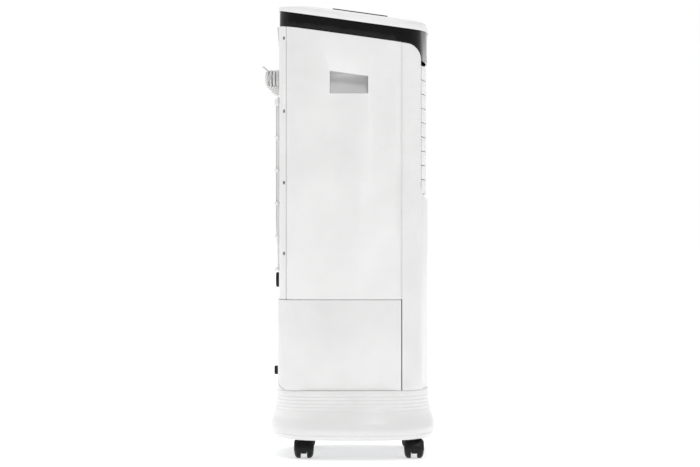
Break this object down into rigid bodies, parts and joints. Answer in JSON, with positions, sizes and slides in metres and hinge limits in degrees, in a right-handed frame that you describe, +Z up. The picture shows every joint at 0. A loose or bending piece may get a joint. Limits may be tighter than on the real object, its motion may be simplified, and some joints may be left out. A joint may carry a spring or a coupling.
{
  "type": "evaporative cooler",
  "caption": "Tall upright evaporative air cooler on swivel casters, with tilting front louvres, a sloping crowned top, a black band and a pull-out water tank.",
  "frame": {"origin": "on the floor under the middle of the base skirt", "axes": "+X to the right seen from the front, -Y is the front with the louvres, +Y is the rear, +Z up"},
  "size_m": [0.34, 0.3148, 0.805],
  "materials": {
    "shell_white": "satin moulded",
    "band_black": "gloss",
    "panel_dark": "smooth touch surface",
    "inner_grey": "matt",
    "outlet_dark": "matt",
    "grille_white": "matt",
    "filter_grey": "fine mesh",
    "pad_brown": "corrugated honeycomb",
    "tank_white": "satin moulded",
    "pump_black": "matt",
    "hose_clear": "soft",
    "motor_steel": "zinc plated",
    "bearing_bronze": "sintered",
    "screw_steel": "zinc plated",
    "cap_black": "matt",
    "board_green": "lacquered",
    "cord_white": "satin",
    "tie_white": "matt",
    "plug_white": "matt",
    "caster_black": "fine grained",
    "stem_steel": "bright"
  },
  "bodies": {
    "casing": {"front_shell": "shell_white", "side_panel_left": "shell_white", "side_panel_right": "shell_white", "rear_panel": "shell_white", "casing_screws": "screw_steel", "trim_band": "band_black", "top_lid": "shell_white", "control_panel": "panel_dark", "base_skirt": "shell_white", "base_pan": "inner_grey", "chassis": "inner_grey", "outlet_frame": "outlet_dark", "swing_motor": "motor_steel", "blower_housing": "inner_grey", "fan_motor": "motor_steel", "fan_bearing": "bearing_bronze", "cooling_pad": "pad_brown", "pad_frame": "inner_grey", "drip_tray": "inner_grey", "pump_hose": "hose_clear", "control_board": "board_green", "strain_relief": "cord_white", "cord_lead": "cord_white", "cord_tail": "cord_white", "cord_hank": "cord_white", "cord_tie": "tie_white", "mains_plug": "plug_white", "caster_stems": "stem_steel"},
    "louvre_1": {"louvre_blade_1": "shell_white"},
    "louvre_2": {"louvre_blade_2": "shell_white"},
    "louvre_3": {"louvre_blade_3": "shell_white"},
    "louvre_4": {"louvre_blade_4": "shell_white"},
    "louvre_5": {"louvre_blade_5": "shell_white"},
    "louvre_6": {"louvre_blade_6": "shell_white"},
    "louvre_7": {"louvre_blade_7": "shell_white"},
    "louvre_8": {"louvre_blade_8": "shell_white"},
    "louvre_9": {"louvre_blade_9": "shell_white"},
    "louvre_bar": {"louvre_link_bar": "outlet_dark"},
    "vane_1": {"vane_1": "outlet_dark"},
    "vane_2": {"vane_2": "outlet_dark"},
    "vane_3": {"vane_3": "outlet_dark"},
    "vane_4": {"vane_4": "outlet_dark"},
    "vane_5": {"vane_5": "outlet_dark"},
    "vane_bar": {"vane_link_bar": "outlet_dark"},
    "fan": {"fan_roller": "outlet_dark"},
    "tank": {"water_tank": "tank_white", "tank_sill": "tank_white", "water_pump": "pump_black"},
    "drain": {"drain_plug": "cap_black"},
    "latch": {"tank_latch": "cap_black"},
    "intake": {"intake_grille": "grille_white", "dust_filter": "filter_grey"},
    "swivel_front_left": {"caster_hood_front_left": "caster_black"},
    "wheels_front_left": {"caster_wheels_front_left": "caster_black"},
    "swivel_front_right": {"caster_hood_front_right": "caster_black"},
    "wheels_front_right": {"caster_wheels_front_right": "caster_black"},
    "swivel_rear_left": {"caster_hood_rear_left": "caster_black"},
    "wheels_rear_left": {"caster_wheels_rear_left": "caster_black"},
    "swivel_rear_right": {"caster_hood_rear_right": "caster_black"},
    "wheels_rear_right": {"caster_wheels_rear_right": "caster_black"}
  },
  "joints": [
    {"name": "louvre_1_tilt", "type": "hinge", "parent": "casing", "child": "louvre_1", "pos_m": [0, -0.1175, 0.4836], "axis": [1, 0, 0], "range_deg": [0, 45]},
    {"name": "louvre_2_tilt", "type": "hinge", "parent": "casing", "child": "louvre_2", "pos_m": [0, -0.1175, 0.509], "axis": [1, 0, 0], "range_deg": [0, 45]},
    {"name": "louvre_3_tilt", "type": "hinge", "parent": "casing", "child": "louvre_3", "pos_m": [0, -0.1175, 0.5344], "axis": [1, 0, 0], "range_deg": [0, 45]},
    {"name": "louvre_4_tilt", "type": "hinge", "parent": "casing", "child": "louvre_4", "pos_m": [0, -0.1175, 0.5598], "axis": [1, 0, 0], "range_deg": [0, 45]},
    {"name": "louvre_5_tilt", "type": "hinge", "parent": "casing", "child": "louvre_5", "pos_m": [0, -0.1175, 0.5852], "axis": [1, 0, 0], "range_deg": [0, 45]},
    {"name": "louvre_6_tilt", "type": "hinge", "parent": "casing", "child": "louvre_6", "pos_m": [0, -0.1175, 0.6106], "axis": [1, 0, 0], "range_deg": [0, 45]},
    {"name": "louvre_7_tilt", "type": "hinge", "parent": "casing", "child": "louvre_7", "pos_m": [0, -0.1175, 0.636], "axis": [1, 0, 0], "range_deg": [0, 45]},
    {"name": "louvre_8_tilt", "type": "hinge", "parent": "casing", "child": "louvre_8", "pos_m": [0, -0.1175, 0.6614], "axis": [1, 0, 0], "range_deg": [0, 45]},
    {"name": "louvre_9_tilt", "type": "hinge", "parent": "casing", "child": "louvre_9", "pos_m": [0, -0.1175, 0.6868], "axis": [1, 0, 0], "range_deg": [0, 45]},
    {"name": "louvre_bar_pivot", "type": "hinge", "parent": "louvre_1", "child": "louvre_bar", "pos_m": [0, -0.1095, 0.4836], "axis": [1, 0, 0], "range_deg": [-45, 0]},
    {"name": "vane_1_swing", "type": "hinge", "parent": "casing", "child": "vane_1", "pos_m": [-0.08, -0.095, 0.584], "axis": [0, 0, 1], "range_deg": [-35, 35]},
    {"name": "vane_2_swing", "type": "hinge", "parent": "casing", "child": "vane_2", "pos_m": [-0.04, -0.095, 0.584], "axis": [0, 0, 1], "range_deg": [-35, 35]},
    {"name": "vane_3_swing", "type": "hinge", "parent": "casing", "child": "vane_3", "pos_m": [0, -0.095, 0.584], "axis": [0, 0, 1], "range_deg": [-35, 35]},
    {"name": "vane_4_swing", "type": "hinge", "parent": "casing", "child": "vane_4", "pos_m": [0.04, -0.095, 0.584], "axis": [0, 0, 1], "range_deg": [-35, 35]},
    {"name": "vane_5_swing", "type": "hinge", "parent": "casing", "child": "vane_5", "pos_m": [0.08, -0.095, 0.584], "axis": [0, 0, 1], "range_deg": [-35, 35]},
    {"name": "vane_bar_pivot", "type": "hinge", "parent": "vane_1", "child": "vane_bar", "pos_m": [-0.08, -0.0865, 0.464], "axis": [0, 0, 1], "range_deg": [-35, 35]},
    {"name": "fan_spin", "type": "hinge", "parent": "casing", "child": "fan", "pos_m": [0, -0.022, 0.584], "axis": [0, 0, 1], "continuous": true},
    {"name": "tank_pull", "type": "slide", "parent": "casing", "child": "tank", "axis": [0, 1, 0], "range_m": [0, 0.2]},
    {"name": "drain_plug_pull", "type": "slide", "parent": "tank", "child": "drain", "axis": [0, 1, 0], "range_m": [0, 0.02]},
    {"name": "tank_latch_turn", "type": "hinge", "parent": "casing", "child": "latch", "pos_m": [0, 0.134, 0.316], "axis": [0, 1, 0], "range_deg": [0, 90]},
    {"name": "grille_pull", "type": "slide", "parent": "casing", "child": "intake", "axis": [0, 1, 0], "range_m": [0, 0.12]},
    {"name": "caster_front_left_swivel", "type": "hinge", "parent": "casing", "child": "swivel_front_left", "pos_m": [-0.09, -0.109, 0.03], "axis": [0, 0, 1], "continuous": true},
    {"name": "caster_front_left_roll", "type": "hinge", "parent": "swivel_front_left", "child": "wheels_front_left", "pos_m": [-0.0995, -0.109, 0.0166], "axis": [0, 1, 0], "continuous": true},
    {"name": "caster_front_right_swivel", "type": "hinge", "parent": "casing", "child": "swivel_front_right", "pos_m": [0.09, -0.109, 0.03], "axis": [0, 0, 1], "continuous": true},
    {"name": "caster_front_right_roll", "type": "hinge", "parent": "swivel_front_right", "child": "wheels_front_right", "pos_m": [0.0995, -0.109, 0.0166], "axis": [0, 1, 0], "continuous": true},
    {"name": "caster_rear_left_swivel", "type": "hinge", "parent": "casing", "child": "swivel_rear_left", "pos_m": [-0.09, 0.087, 0.03], "axis": [0, 0, 1], "continuous": true},
    {"name": "caster_rear_left_roll", "type": "hinge", "parent": "swivel_rear_left", "child": "wheels_rear_left", "pos_m": [-0.0995, 0.087, 0.0166], "axis": [0, 1, 0], "continuous": true},
    {"name": "caster_rear_right_swivel", "type": "hinge", "parent": "casing", "child": "swivel_rear_right", "pos_m": [0.09, 0.087, 0.03], "axis": [0, 0, 1], "continuous": true},
    {"name": "caster_rear_right_roll", "type": "hinge", "parent": "swivel_rear_right", "child": "wheels_rear_right", "pos_m": [0.0995, 0.087, 0.0166], "axis": [0, 1, 0], "continuous": true}
  ],
  "couplings": [
    {"joint": "louvre_2_tilt", "follows": "louvre_1_tilt", "ratio": 1},
    {"joint": "louvre_3_tilt", "follows": "louvre_1_tilt", "ratio": 1},
    {"joint": "louvre_4_tilt", "follows": "louvre_1_tilt", "ratio": 1},
    {"joint": "louvre_5_tilt", "follows": "louvre_1_tilt", "ratio": 1},
    {"joint": "louvre_6_tilt", "follows": "louvre_1_tilt", "ratio": 1},
    {"joint": "louvre_7_tilt", "follows": "louvre_1_tilt", "ratio": 1},
    {"joint": "louvre_8_tilt", "follows": "louvre_1_tilt", "ratio": 1},
    {"joint": "louvre_9_tilt", "follows": "louvre_1_tilt", "ratio": 1},
    {"joint": "louvre_bar_pivot", "follows": "louvre_1_tilt", "ratio": -1},
    {"joint": "vane_2_swing", "follows": "vane_1_swing", "ratio": 1},
    {"joint": "vane_3_swing", "follows": "vane_1_swing", "ratio": 1},
    {"joint": "vane_4_swing", "follows": "vane_1_swing", "ratio": 1},
    {"joint": "vane_5_swing", "follows": "vane_1_swing", "ratio": 1},
    {"joint": "vane_bar_pivot", "follows": "vane_1_swing", "ratio": -1}
  ]
}
